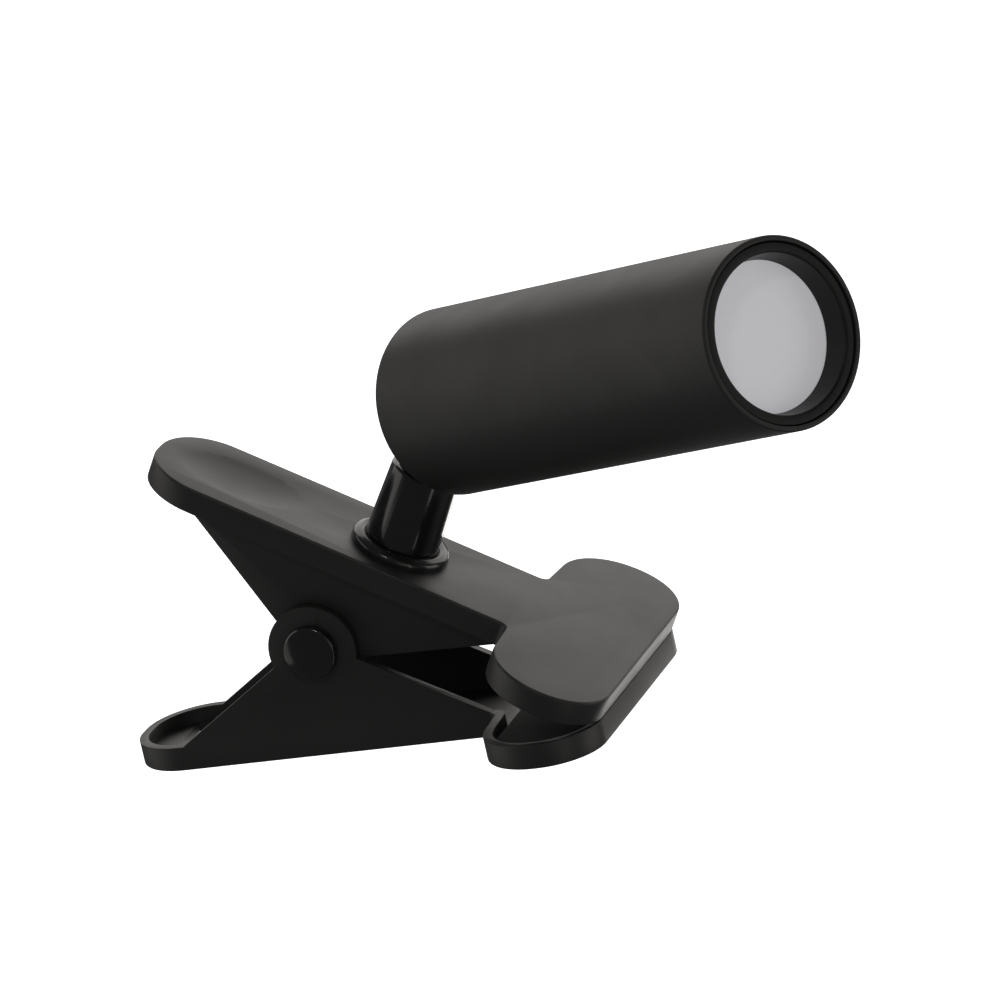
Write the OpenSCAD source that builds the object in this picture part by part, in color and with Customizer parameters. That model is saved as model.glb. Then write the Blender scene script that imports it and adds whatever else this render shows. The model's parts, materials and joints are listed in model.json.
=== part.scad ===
// Clip-on reading lamp: a spring clip with two jaws, a short swivelling stem and a
// cylindrical LED head that tilts on top of it.
// Millimetres. +X points out of the jaws, +Y across them and +Z up. The plane where the
// jaws meet is z = 0, and the origin is the middle of their front edge.

/* [Clip] */
// From the hinge axis back to the handles' rear end
handle_len = 48.6; // [44:0.5:60]
// From the hinge axis forward to the jaws' front edge
jaw_len = 65.6; // [60:0.5:80]
// Width of the two handles
handle_w = 28.6; // [23.5:0.5:36]
// Corner radius of the handles' rear end
handle_r = 13; // [6:0.5:16]
// From the hinge axis square out to a jaw's outer face
plate_drop = 23.8; // [21:0.2:30]
// Depth of the rim that runs round each jaw
rim_depth = 5.4; // [4.4:0.2:7]
// Thickness of a jaw's plate
plate_t = 2.2; // [1.6:0.1:2.8]
// Thickness of the rim
rim_t = 2; // [1.2:0.1:2.6]
// Where the handle ends and the jaw head begins, ahead of the hinge axis
neck_at = 38.2; // [36:0.5:44]
// How far the head's rear edge leans forward from the neck to its corner
head_lean = 1.3; // [0:0.1:4]
// Width across the head's rear corners
head_w_rear = 78.1; // [66:0.5:94]
// Width across the head's front corners
head_w_front = 75.2; // [64:0.5:92]
// Radius of the head's rear corners
head_r_rear = 13.9; // [6:0.1:14]
// Radius of the head's front corners
head_r_front = 12.3; // [5:0.1:12.5]
// Radius in the corner between handle and head
neck_r = 2; // [0.5:0.1:3]
// Gap between the two rims at the front edge when the clip is shut
tip_gap = 0.3; // [0.2:0.1:1]
// Length of the oval thumb dish in the upper handle
dish_len = 30; // [16:1:34]
// Width of the thumb dish
dish_w = 18; // [10:1:20]
// Depth of the thumb dish
dish_depth = 1; // [0.3:0.1:1.2]
// Middle of the thumb dish, behind the hinge axis
dish_at = 29; // [22:0.5:31]
// Length of the window in the lower handle
window_len = 7; // [5:0.5:9]
// Width of the window
window_w = 22; // [10:1:22]
// Rear edge of the window, behind the hinge axis
window_at = 40.5; // [39:0.5:41]

/* [Hinge] */
// Radius of the round ears about the hinge axis
ear_r = 9.9; // [8:0.1:12]
// Thickness of the hinge webs
web_t = 2; // [1.4:0.1:2.6]
// Rear end of the lower jaw's webs at the rim, behind the hinge axis
web_rear = 34.5; // [28:0.5:38]
// Front end of the lower jaw's webs at the rim, ahead of the hinge axis
web_front = 37; // [30:0.5:38]
// How much further the upper jaw's webs reach at both ends
web_more = 1.2; // [0:0.1:2]
// Radius of the hinge pin
pin_r = 1.9; // [1.5:0.1:2.4]
// Radius of the domed caps on the pin's ends
pin_cap_r = 5.9; // [4.5:0.1:7.5]
// How far a cap stands out
pin_cap_h = 3; // [1.5:0.1:3.5]
// Rise of a cap's dome above its round wall
pin_dome_h = 1.1; // [0.5:0.1:1.2]
// Wire radius of the torsion spring
wire_r = 1; // [0.7:0.05:1.2]
// Mean radius of the spring's coil
coil_r = 5.8; // [5.2:0.1:7]
// Full turns of the coil, beyond the part turn between its legs
coil_turns = 4; // [2:1:5]
// Where the spring's legs end, behind the hinge axis
leg_at = 28; // [20:0.5:32]

/* [Stem] */
// Where the stem stands on the upper jaw, ahead of the hinge axis
stem_at = 8.2; // [6:0.2:16]
// Height of the tilt pin above the upper jaw's face
tilt_h = 28; // [26:0.5:40]
// Stem radius at its foot
stem_r_foot = 8.2; // [7:0.1:9]
// Stem radius at its shoulder
stem_r_top = 7.5; // [6.5:0.1:8.5]
// Distance of the shoulder below the tilt pin
shoulder_drop = 8.2; // [8:0.1:12]
// Radius of the collar that the stem turns in
collar_r = 11.4; // [10.5:0.1:12.2]
// Height of the collar
collar_h = 2.5; // [1.5:0.1:4]
// Radius of the stem's spigot in the plate
spigot_r = 5; // [4:0.1:6]
// Radius of the screw that holds the stem
stem_screw_r = 2; // [1.5:0.1:2.5]
// Swivel of the head about the stem as it is stored
pan_deg = -40.5; // [-90:0.5:90]
// Rise of the head above the jaw's face as it is stored
rise_deg = 36.8; // [20:0.2:80]

/* [Tilt joint] */
// Thickness of the tongue on top of the stem
tongue_t = 7; // [5:0.5:8]
// Radius of the tongue's and the lugs' round ends
knuckle_r = 5.4; // [4:0.1:5.6]
// Thickness of each lug on the rear cap
lug_t = 3.6; // [2.5:0.1:4]
// Radius of the tilt screw
tilt_pin_r = 2; // [1.5:0.1:2.5]
// Gap between the tongue and each lug, which holds a friction washer
lug_gap = 0.35; // [0.3:0.05:0.6]

/* [Head] */
// Outer radius of the head tube
tube_r = 20; // [19:0.5:26]
// Length of the head tube
tube_len = 115.3; // [110:0.5:160]
// Wall of the head tube
tube_t = 1.2; // [0.8:0.1:1.6]
// From the tilt pin forward to the tube's rear end
rear_gap = 5.9; // [5.9:0.1:9]
// From the tilt pin up to the tube's axis
axis_rise = 6.4; // [4:0.1:8]
// How far the rear cap and the bezel sit inside the tube's ends
end_inset = 0.5; // [0.2:0.1:1]
// Visible radius of the diffuser
lens_r = 15.6; // [12:0.1:16.5]
// Radius of the bezel's mouth
mouth_r = 17; // [16.6:0.1:17.6]
// Depth of the diffuser below the tube's front end
lens_depth = 6; // [3:0.1:10]
// Thickness of the diffuser
lens_t = 1.8; // [1:0.1:2.5]
// Radius of the push button
button_r = 4.8; // [3:0.1:5]
// How far the push button stands out of the rear cap
button_out = 1; // [0.8:0.1:2]
// Travel of the push button
button_travel = 0.6; // [0.3:0.1:0.8]
// Radius of the battery cell
cell_r = 9.2; // [7:0.1:10]
// Length of the battery cell
cell_len = 65.2; // [50:0.1:70]

/* [Hidden] */
$fn = 96;

run = 0.05;                  // radial clearance of a running fit
face = 0.1;                  // gap between faces that turn on each other
free = 0.3;                  // gap between bodies that only pass each other
seat = 0.05;                 // gap round a piece seated in another of the same body
over = 0.2;                  // how far a cut runs past a face, or a root into its wall
corner_steps = 14;           // flats along each rounded corner of a jaw

rim_h = plate_drop - rim_depth;          // hinge axis to the rim's lower edge
inner_h = plate_drop - plate_t;          // hinge axis to the plate's inner face
tip_reach = norm([jaw_len, rim_h]);
jaw_angle = atan2(rim_h, jaw_len) - asin(tip_gap / 2 / tip_reach);
grip_x = tip_reach * cos(atan2(rim_h, jaw_len) - jaw_angle);

web_out = handle_w / 2;                  // outer face of the lower jaw's webs
web_in = web_out - web_t - free;         // outer face of the upper jaw's webs
channel = web_in - web_t;                // half the width between the upper jaw's webs
lower_dip = 17;                          // where a web's edge meets its ear, above the middle
upper_dip = 11;

head_r_corner = min(handle_r, handle_w / 2 - face);
pad_rear = neck_at + head_lean + rim_t + 1.5;
pad_h = rim_h + 0.2;                     // the pads sit just inside the rims

sleeve_r = coil_r - wire_r - 0.6;
leg_h = inner_h - wire_r - seat;         // height of the leg ends, against the plates
coil_half = (coil_turns + 1) * (wire_r + 0.1);

spigot_end = plate_t + 0.6;
washer_t = 1;
shoulder_z = tilt_h - shoulder_drop;
screw_head_r = 1.9 * stem_screw_r;

lug_in = tongue_t / 2 + lug_gap;
lug_out = lug_in + lug_t;
bore_r = tube_r - tube_t;
fit_r = bore_r - seat;                   // radius of what fits in the tube
front_x = tube_len - end_inset;
lens_x = tube_len - lens_depth;          // front face of the diffuser
lens_back = lens_x - lens_t;
bezel_back = lens_back - 4;

cap_t = 2.6;
cap_in = end_inset + cap_t;              // inner face of the rear cap
cap_skirt = 6;
cap_skirt_t = 1.2;
board_x = cap_in + 6;
board_t = 1.6;
cradle_x = board_x + board_t + 3;
wall_t = 1.5;
cell_x = cradle_x + wall_t + 0.4;
cradle_end = cell_x + cell_len + 2;
button_z = 9.5;                          // above the tube's axis
socket_y = 12.3;
socket_w = 8.9;
socket_h = 3.2;
socket_len = 7.3;
cap_screw_r = 1.1;
post_r = 2 * cap_screw_r;                // cradle posts that take the cap screws
post_ring = fit_r - cap_skirt_t - post_r - 2 * seat;
cap_screw_at = post_ring * [cos(43.7), sin(43.7)];
cell_pip = 0.4;                          // raised contact at the cell's front end
led_t = 1.6;
led_x = lens_back - 9.4;                 // rear face of the LED board
sink_x = led_x - 12;
lead_r = 0.7;
lead_z = 4;                              // leads that run beside the cell
lead_y = sqrt(pow(cell_r + lead_r + seat, 2) - pow(lead_z, 2));

// ---------------------------------------------------------------- places

module on_upper() {
    translate([-grip_x, 0, 0]) rotate([0, jaw_angle, 0]) children();
}

module on_lower() {
    translate([-grip_x, 0, 0]) mirror([0, 0, 1]) rotate([0, jaw_angle, 0]) children();
}

module on_hinge() {
    translate([-grip_x, 0, 0]) children();
}

// Foot of the stem: +Z along the stem, +X towards the head
module on_stem() {
    on_upper() translate([stem_at, 0, plate_drop]) rotate([0, 0, pan_deg]) children();
}

// Tilt pin: +X along the head, +Y along the pin
module on_tilt() {
    on_stem() translate([0, 0, tilt_h]) rotate([0, -rise_deg, 0]) children();
}

// Middle of the tube's rear end: +X along the tube
module on_tube() {
    on_tilt() translate([rear_gap, 0, axis_rise]) children();
}

// ---------------------------------------------------------------- shapes

module rod_y(r, y0, y1) {
    translate([0, y0, 0]) rotate([-90, 0, 0]) cylinder(r = r, h = y1 - y0);
}

module rod_x(r, x0, x1) {
    translate([x0, 0, 0]) rotate([0, 90, 0]) cylinder(r = r, h = x1 - x0);
}

// Solid of revolution about the tube's axis, from points [radius, x]
module turned(points) {
    rotate([0, 90, 0]) rotate_extrude() polygon(points);
}

function unit(v) = v / norm(v);

// Middle of the arc of radius r in the corner at p between its neighbours a and b
function arc_middle(a, p, b, r) =
    let (u = unit(a - p), v = unit(b - p), half = acos(u * v) / 2)
    p + unit(u + v) * r / sin(half);

// Where that arc touches the side that runs from p towards q
function arc_touch(p, q, m) = p + unit(q - p) * ((m - p) * unit(q - p));

function turn(a, p, b) = (p - a)[0] * (b - p)[1] - (p - a)[1] * (b - p)[0];

// Points along the arc of radius r that rounds the corner at p, from a's side to b's
function corner(a, p, b, r) =
    let (m = arc_middle(a, p, b, r),
         from = arc_touch(p, a, m) - m,
         swing = turn(a, p, b) > 0 ? 1 : -1,
         angle = swing * (180 - acos(unit(a - p) * unit(b - p))),
         start = atan2(from[1], from[0]))
    [for (k = [0:corner_steps]) m + r * [cos(start + angle * k / corner_steps),
                                         sin(start + angle * k / corner_steps)]];

// Polygon with an arc at each corner, outward or inward
module rounded(points, radii) {
    n = len(points);
    polygon([for (i = [0:n - 1])
        each corner(points[(i + n - 1) % n], points[i], points[(i + 1) % n], radii[i])]);
}

// Outline of a jaw seen from above, drawn in from its true edge by an inset
module jaw_outline(inset = 0) {
    side = [[-handle_len + inset, handle_w / 2 - inset],
            [neck_at + inset, handle_w / 2 - inset],
            [neck_at + head_lean + inset, head_w_rear / 2 - inset],
            [jaw_len - inset, head_w_front / 2 - inset]];
    radii = [head_r_corner - inset, neck_r + inset, head_r_rear - inset, head_r_front - inset];
    rounded([for (p = side) p, for (i = [3:-1:0]) [side[i][0], -side[i][1]]],
            [for (r = radii) r, for (i = [3:-1:0]) radii[i]]);
}

// Plate with its rim, open towards the hinge axis
module jaw_shell() {
    difference() {
        translate([0, 0, rim_h]) linear_extrude(rim_depth) jaw_outline();
        translate([0, 0, rim_h - over]) linear_extrude(rim_depth - plate_t + over)
            jaw_outline(rim_t);
    }
}

// Where a web's edge ends inside its ear: it runs down from the rim and crosses the ear's
// edge at an angle of dip above the middle
function web_root(reach, dip) =
    let (cross = ear_r * [cos(dip), sin(dip)],
         slope = (rim_h - cross[1]) / (reach - cross[0]))
    [ear_r / 2, cross[1] - slope * (cross[0] - ear_r / 2)];

// Triangular web with its round ear, on both sides, between two distances from the middle
module webs(y_in, y_out, more, dip) {
    rear_end = web_rear + more;
    front_end = web_front + more;
    rear = web_root(rear_end, dip);
    front = web_root(front_end, dip);
    for (side = [-1, 1]) translate([0, side > 0 ? y_out : -y_in, 0]) rotate([90, 0, 0])
        linear_extrude(y_out - y_in) {
            polygon([[-rear_end, rim_h], [-rear[0], rear[1]], front, [front_end, rim_h],
                     [front_end, inner_h + over], [-rear_end, inner_h + over]]);
            circle(ear_r);
        }
}

// Row of rods along a list of points, with a ball at each bend
module wire(points, r) {
    for (i = [1:len(points) - 2]) translate(points[i]) sphere(r + 0.02, $fn = 24);
    for (i = [0:len(points) - 2]) {
        v = points[i + 1] - points[i];
        translate(points[i]) rotate([0, acos(v[2] / norm(v)), atan2(v[1], v[0])])
            cylinder(r = r, h = norm(v), $fn = 24);
    }
}

// ---------------------------------------------------------------- clip

module upper_jaw() {
    dish_rs = (pow(dish_len / 2, 2) + pow(dish_depth, 2)) / (2 * dish_depth);
    dish_rt = (pow(dish_w / 2, 2) + pow(dish_depth, 2)) / (2 * dish_depth);
    color("#232323") on_upper() difference() {
        union() {
            jaw_shell();
            webs(channel, web_in, web_more, upper_dip);
            for (side = [-1, 1]) translate([-web_rear, side * web_in - 0.5 * free, rim_h])
                cube([web_rear + web_front, free, rim_depth - plate_t + over]);
        }
        rod_y(pin_r + run, -web_out, web_out);
        translate([stem_at, 0, inner_h - over]) cylinder(r = spigot_r + run, h = plate_t + 2 * over);
        translate([-dish_at, 0, plate_drop - dish_depth + dish_rs]) rotate([90, 0, 0])
            rotate_extrude($fn = 180) translate([dish_rs - dish_rt, 0]) rotate(180) circle(dish_rt);
    }
}

module lower_jaw() {
    color("#232323") on_lower() difference() {
        union() {
            jaw_shell();
            webs(web_in + free, web_out, 0, lower_dip);
        }
        rod_y(pin_r + seat, -web_out - over, web_out + over);
        translate([-window_at, -window_w / 2, inner_h - over])
            cube([window_len, window_w, plate_t + 2 * over]);
    }
}

module grip_pad() {
    translate([0, 0, pad_h]) linear_extrude(inner_h - seat - pad_h) intersection() {
        jaw_outline(rim_t + seat);
        translate([pad_rear, -head_w_rear / 2]) square([jaw_len, head_w_rear]);
    }
}

module upper_grip_pad() {
    color("#161616") on_upper() grip_pad();
}

module lower_grip_pad() {
    color("#161616") on_lower() grip_pad();
}

module pivot_pin() {
    color("silver") on_hinge() rod_y(pin_r, -web_out, web_out);
}

module pivot_sleeve() {
    color("#3a3a3a") on_hinge() difference() {
        rod_y(sleeve_r, -channel + free, channel - free);
        rod_y(pin_r + seat, -channel, channel);
    }
}

// Domed cap on the outer face of an ear
module pin_cap(side) {
    dome_r = (pow(pin_cap_r, 2) + pow(pin_dome_h, 2)) / (2 * pin_dome_h);
    translate([0, side * (web_out + seat), 0]) rotate([-90 * side, 0, 0]) intersection() {
        translate([0, 0, pin_cap_h - dome_r]) sphere(dome_r);
        cylinder(r = pin_cap_r, h = pin_cap_h);
    }
}

module pin_cap_left() {
    color("#1c1c1c") on_hinge() pin_cap(1);
}

module pin_cap_right() {
    color("#1c1c1c") on_hinge() pin_cap(-1);
}

// Tube of round section along points that turn about the Y axis: each entry is
// [point, outward angle], and the section lies in that direction and Y
module coil_sweep(path, r, sides = 10) {
    rings = [for (p = path) for (i = [0:sides - 1])
        let (a = 360 * i / sides)
        p[0] + r * [cos(a) * cos(p[1]), sin(a), cos(a) * sin(p[1])]];
    last = (len(path) - 1) * sides;
    polyhedron(rings, concat(
        [[for (i = [0:sides - 1]) i]],
        [[for (i = [sides - 1:-1:0]) last + i]],
        [for (k = [0:len(path) - 2]) for (i = [0:sides - 1])
            let (a = k * sides + i, b = k * sides + (i + 1) % sides)
            each [[a, a + sides, b], [b, a + sides, b + sides]]]));
}

module torsion_spring() {
    tip_up = atan2(leg_h, leg_at) + jaw_angle;         // above the rear horizontal
    tip_dist = norm([leg_at, leg_h]);
    touch_a = 180 - tip_up - acos(coil_r / tip_dist);
    swept = 2 * touch_a + 360 * coil_turns;
    steps = ceil(swept / 15);
    lower_tip = 180 - tip_up + 1;                      // stops just short of the lower jaw
    coil = [for (k = [0:steps])
        let (a = touch_a - swept * k / steps)
        [[coil_r * cos(a), coil_half * (2 * k / steps - 1), coil_r * sin(a)], a]];
    upper_end = [[tip_dist * cos(180 - tip_up), -coil_half, tip_dist * sin(180 - tip_up)], touch_a];
    lower_end = [[tip_dist * cos(lower_tip), coil_half, -tip_dist * sin(lower_tip)], -touch_a];
    color("silver") on_hinge() coil_sweep(concat([upper_end], coil, [lower_end]), wire_r);
}

// ---------------------------------------------------------------- stem

module stem_collar() {
    soft = min(1.6, collar_h - 0.4);
    color("#161616") on_stem() rotate_extrude() difference() {
        union() {
            square([collar_r - soft, collar_h]);
            square([collar_r, collar_h - soft]);
            translate([collar_r - soft, collar_h - soft]) circle(soft);
        }
        translate([-1, -2]) square([stem_r_foot + run + 1, collar_h + 3]);
        translate([0, -2]) square([2 * collar_r, 2]);
    }
}

module stem() {
    soft = 1;
    color("#161616") on_stem() difference() {
        union() {
            rotate_extrude() {
                polygon([[0, -spigot_end], [spigot_r, -spigot_end], [spigot_r, face],
                         [stem_r_foot, face], [stem_r_foot, collar_h],
                         [stem_r_top, shoulder_z - soft], [stem_r_top - soft, shoulder_z],
                         [0, shoulder_z]]);
                translate([stem_r_top - soft, shoulder_z - soft]) circle(soft);
            }
            translate([-knuckle_r, -tongue_t / 2, shoulder_z - 1])
                cube([2 * knuckle_r, tongue_t, tilt_h - shoulder_z + 1]);
            translate([0, 0, tilt_h]) rod_y(knuckle_r, -tongue_t / 2, tongue_t / 2);
        }
        translate([0, 0, tilt_h]) rod_y(tilt_pin_r + run, -tongue_t, tongue_t);
        translate([0, 0, -spigot_end - 1]) cylinder(r = stem_screw_r + seat, h = 14);
    }
}

module stem_washer() {
    color("silver") on_stem() translate([0, 0, -spigot_end - washer_t]) difference() {
        cylinder(r = spigot_r + 3, h = washer_t);
        translate([0, 0, -1]) cylinder(r = stem_screw_r + seat, h = washer_t + 2);
    }
}

module wave_washer() {
    color("silver") on_stem() translate([0, 0, -spigot_end + seat]) difference() {
        cylinder(r = spigot_r + 2.6, h = spigot_end - plate_t - face - seat);
        translate([0, 0, -1]) cylinder(r = spigot_r + 0.2, h = 2);
    }
}

module stem_screw() {
    head_h = 1.2 * stem_screw_r;
    color("dimgray") on_stem() translate([0, 0, -spigot_end - washer_t]) difference() {
        union() {
            translate([0, 0, -head_h]) cylinder(r = screw_head_r, h = head_h);
            cylinder(r = stem_screw_r, h = 12);
        }
        for (a = [0, 90]) rotate([0, 0, a]) translate([-0.6 * screw_head_r, -0.4, -head_h - 1])
            cube([1.2 * screw_head_r, 0.8, 1 + 0.6 * head_h]);
    }
}

// ---------------------------------------------------------------- tilt joint

module tilt_screw() {
    head_r = 1.7 * tilt_pin_r;
    color("dimgray") on_tilt() difference() {
        union() {
            rod_y(tilt_pin_r, -lug_out, lug_out + 2.4);
            rod_y(head_r, -lug_out - 1.8, -lug_out);
        }
        translate([0, -lug_out - 1.8, 0]) rotate([90, 0, 0]) translate([0, 0, -1])
            cylinder(r = 0.9 * tilt_pin_r, h = 2, $fn = 6);
    }
}

module tilt_nut() {
    color("dimgray") on_tilt() translate([0, lug_out + 2, 0]) rotate([90, 0, 0]) difference() {
        cylinder(r = 1.75 * tilt_pin_r, h = 2, $fn = 6);
        translate([0, 0, -1]) cylinder(r = tilt_pin_r + 0.02, h = 4);
    }
}

module tilt_washers() {
    thick = lug_gap - face;
    color("silver") on_tilt() for (side = [-1, 1]) {
        y = side * (tongue_t + lug_gap) / 2;
        difference() {
            rod_y(knuckle_r - 0.2, y - thick / 2, y + thick / 2);
            rod_y(tilt_pin_r + seat, y - 1, y + 1);
        }
    }
}

// ---------------------------------------------------------------- head

module head_tube() {
    soft = 0.4;
    color("#262626") on_tube() turned([[bore_r, 0], [tube_r - soft, 0], [tube_r, soft],
        [tube_r, tube_len - soft], [tube_r - soft, tube_len], [bore_r, tube_len]]);
}

module at_cap_screws() {
    for (y = [-1, 1]) for (z = [-1, 1])
        translate([0, y * cap_screw_at[0], z * cap_screw_at[1]]) children();
}

module rear_cap() {
    reach = rear_gap + end_inset;        // from the pin to the cap's rear face
    color("#1d1d1d") on_tube() difference() {
        union() {
            turned([[0, end_inset], [fit_r, end_inset], [fit_r, cap_in + cap_skirt],
                    [fit_r - cap_skirt_t, cap_in + cap_skirt], [fit_r - cap_skirt_t, cap_in],
                    [0, cap_in]]);
            translate([-rear_gap, 0, -axis_rise]) for (side = [-1, 1]) {
                y0 = side > 0 ? lug_in : -lug_out;
                rod_y(knuckle_r, y0, y0 + lug_t);
                translate([0, y0, -knuckle_r]) cube([reach + 0.5, lug_t, 2 * knuckle_r]);
            }
        }
        translate([-rear_gap, 0, -axis_rise]) rod_y(tilt_pin_r + seat, -lug_out - 1, lug_out + 1);
        translate([0, 0, button_z]) rod_x(button_r + run, -1, cap_in + 1);
        translate([0, socket_y, 0]) rod_slot(socket_h / 2 + 0.15, socket_w - socket_h, -1, cap_in + 1);
        at_cap_screws() rod_x(cap_screw_r + 0.1, -1, cap_in + 1);
        at_cap_screws() rotate([0, 90, 0]) translate([0, 0, end_inset - 0.01])
            cylinder(r1 = 2.1, r2 = cap_screw_r + 0.1, h = 1);
        translate([0, -socket_y, 4]) rod_x(0.9, -1, cap_in + 1);
    }
}

// Upright slot: two rods a span apart, joined
module rod_slot(r, span, x0, x1) {
    for (side = [-1, 1]) translate([0, 0, side * span / 2]) rod_x(r, x0, x1);
    translate([x0, -r, -span / 2]) cube([x1 - x0, 2 * r, span]);
}

module cap_screws() {
    color("dimgray") on_tube() at_cap_screws() difference() {
        union() {
            rod_x(cap_screw_r, end_inset + 0.5, cap_in + 6);
            rotate([0, 90, 0]) translate([0, 0, end_inset + 0.05])
                cylinder(r1 = 2, r2 = cap_screw_r, h = 0.95);
        }
        for (a = [0, 90]) rotate([a, 0, 0]) translate([-1, -1.1, -0.25])
            cube([1.5 + end_inset, 2.2, 0.5]);
    }
}

module power_button() {
    tip = board_x - 1.8;                 // reaches to the switch with the travel left
    color("#2c2c2c") on_tube() translate([0, 0, button_z]) {
        turned([[0, end_inset - button_out], [button_r - 0.6, end_inset - button_out],
                [button_r, end_inset - button_out + 0.6], [button_r, cap_in + face],
                [button_r + 0.8, cap_in + face], [button_r + 0.8, cap_in + face + 0.8],
                [1.4, cap_in + face + 0.8], [1.4, tip - button_travel - face],
                [0, tip - button_travel - face]]);
    }
}

module tact_switch() {
    color("dimgray") on_tube() translate([0, 0, button_z]) {
        translate([board_x - 1.4 - seat, -3, -3]) cube([1.4, 6, 6]);
        rod_x(1.5, board_x - 1.8, board_x - 1.4);
    }
}

module usb_socket() {
    shell = 0.3;
    span = socket_w - socket_h;
    color("silver") on_tube() translate([0, socket_y, 0]) {
        difference() {
            rod_slot(socket_h / 2, span, end_inset + 0.4, end_inset + socket_len);
            rod_slot(socket_h / 2 - shell, span, end_inset, end_inset + socket_len - 0.8);
        }
        translate([end_inset + 1.4, -0.35, -span / 2]) cube([socket_len - 2, 0.7, span]);
    }
}

module charge_light() {
    color("lime") on_tube() translate([0, -socket_y, 4])
        rod_x(0.9 - seat, end_inset + 0.1, board_x - 0.6);
}

module control_board() {
    color("darkgreen") on_tube() difference() {
        rod_x(fit_r - 2, board_x, board_x + board_t);
        at_cap_screws() rod_x(post_r + free, board_x - 1, board_x + board_t + 1);
    }
}

module board_parts() {
    x = board_x + board_t;
    color("#303030") on_tube() {
        translate([x, -9, -2]) cube([1.2, 5, 4]);
        translate([x, 1, -5]) cube([2.4, 5, 5]);
        translate([x, -3, 4]) cube([0.9, 4, 3]);
        for (k = [0:3]) translate([x, 8, -6 + 2 * k]) cube([0.8, 2, 1.2]);
    }
}

module battery_cradle() {
    trough_r = cell_r + 1.6;
    color("#d8d8d4") on_tube() difference() {
        union() {
            rod_x(fit_r - 0.3, cradle_x, cradle_x + wall_t);
            rod_x(fit_r - 0.3, cradle_end - wall_t, cradle_end);
            difference() {
                rod_x(trough_r, cradle_x, cradle_end);
                rod_x(cell_r + 0.3, cell_x - 0.2, cradle_end - wall_t);
                translate([cell_x - 0.2, -tube_r, 2])
                    cube([cradle_end - wall_t - cell_x + 0.2, 2 * tube_r, tube_r]);
            }
            at_cap_screws() rod_x(post_r, cap_in + seat, cradle_x + 0.5);
        }
        at_cap_screws() rod_x(cap_screw_r + seat, cap_in, cap_in + 7);
        for (y = [-1, 1]) translate([0, y * lead_y, lead_z])
            rod_x(lead_r + 0.3, cradle_x - 1, cell_x);
    }
}

module battery_cell() {
    color("steelblue") on_tube() {
        rod_x(cell_r, cell_x, cell_x + cell_len);
        rod_x(3, cell_x + cell_len - 0.5, cell_x + cell_len + cell_pip);
    }
}

module battery_leads() {
    color("firebrick") on_tube() for (side = [-1, 1]) translate([0, side * lead_y, lead_z])
        rod_x(lead_r, board_x + board_t + seat, cell_x + 16);
}

module heat_sink() {
    fins = 12;
    color("silver") on_tube() {
        rod_x(fit_r, led_x - 4, led_x);
        difference() {
            rod_x(fit_r, sink_x, led_x - 3.5);
            rod_x(fit_r - 1.6, sink_x - 1, led_x - 4);
        }
        for (k = [0:fins - 1]) rotate([360 * k / fins + 15, 0, 0])
            translate([sink_x, 4, -0.6]) cube([led_x - 3.5 - sink_x, fit_r - 5, 1.2]);
    }
}

module led_board() {
    color("ivory") on_tube() difference() {
        rod_x(lens_r - 0.8, led_x + seat, led_x + led_t);
        for (side = [-1, 1]) translate([0, side * 12, 0]) rod_x(1.1, led_x - 1, led_x + led_t + 1);
    }
}

module led_screws() {
    color("silver") on_tube() for (side = [-1, 1]) translate([0, side * 12, 0]) {
        rod_x(1, led_x + seat, led_x + led_t + 0.5);
        rod_x(1.9, led_x + led_t + seat, led_x + led_t + 1.3);
    }
}

module led_emitters() {
    color("khaki") on_tube() {
        translate([led_x + led_t, -1.5, -1.5]) cube([0.8, 3, 3]);
        for (k = [0:5]) rotate([60 * k + 30, 0, 0])
            translate([led_x + led_t, 7 - 1.5, -1.5]) cube([0.8, 3, 3]);
    }
}

module led_leads() {
    color("firebrick") on_tube() for (z = [-1, 1])
        wire([[cradle_end + 1, 0, z * 14.5], [cradle_end + 3, 0, z * 13.2],
              [sink_x - 1.5, 0, z * 12]], lead_r);
}

module reflector() {
    back = led_x + led_t + 0.2;
    color("white") on_tube() turned([[lens_r - 1.6, back], [lens_r - 0.8, back],
        [lens_r + 0.8, lens_back - seat], [lens_r, lens_back - seat]]);
}

module diffuser() {
    color("#d9d8e2") on_tube() turned([[0, lens_back], [mouth_r + 0.2, lens_back],
        [mouth_r + 0.2, lens_x - 0.05], [0, lens_x - 0.05]]);
}

module front_bezel() {
    soft = 0.4;
    color("#181818") on_tube() turned([[fit_r, bezel_back], [fit_r, front_x - soft],
        [fit_r - soft, front_x], [mouth_r + soft, front_x], [mouth_r, front_x - soft],
        [lens_r, lens_x], [mouth_r + 0.25, lens_x], [mouth_r + 0.25, bezel_back]]);
}

upper_jaw();
lower_jaw();
upper_grip_pad();
lower_grip_pad();
pivot_pin();
pivot_sleeve();
pin_cap_left();
pin_cap_right();
torsion_spring();
stem_collar();
stem();
stem_screw();
stem_washer();
wave_washer();
tilt_screw();
tilt_nut();
tilt_washers();
head_tube();
rear_cap();
cap_screws();
power_button();
tact_switch();
usb_socket();
charge_light();
control_board();
board_parts();
battery_cell();
battery_cradle();
battery_leads();
heat_sink();
led_board();
led_screws();
led_emitters();
led_leads();
reflector();
diffuser();
front_bezel();
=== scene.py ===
"""Clip-on reading lamp: the finished look of every piece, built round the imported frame.

Each sub-assembly is a class that holds its sizes in metres, builds its meshes in the row
frame and dresses them. Places come from the joints and boxes of the frame.
"""

from __future__ import annotations

import json
import logging
import math
from dataclasses import dataclass, field
from enum import Enum
from typing import Any, Callable, Iterable, Sequence

import bmesh
import bpy
from mathutils import Matrix, Vector

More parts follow.
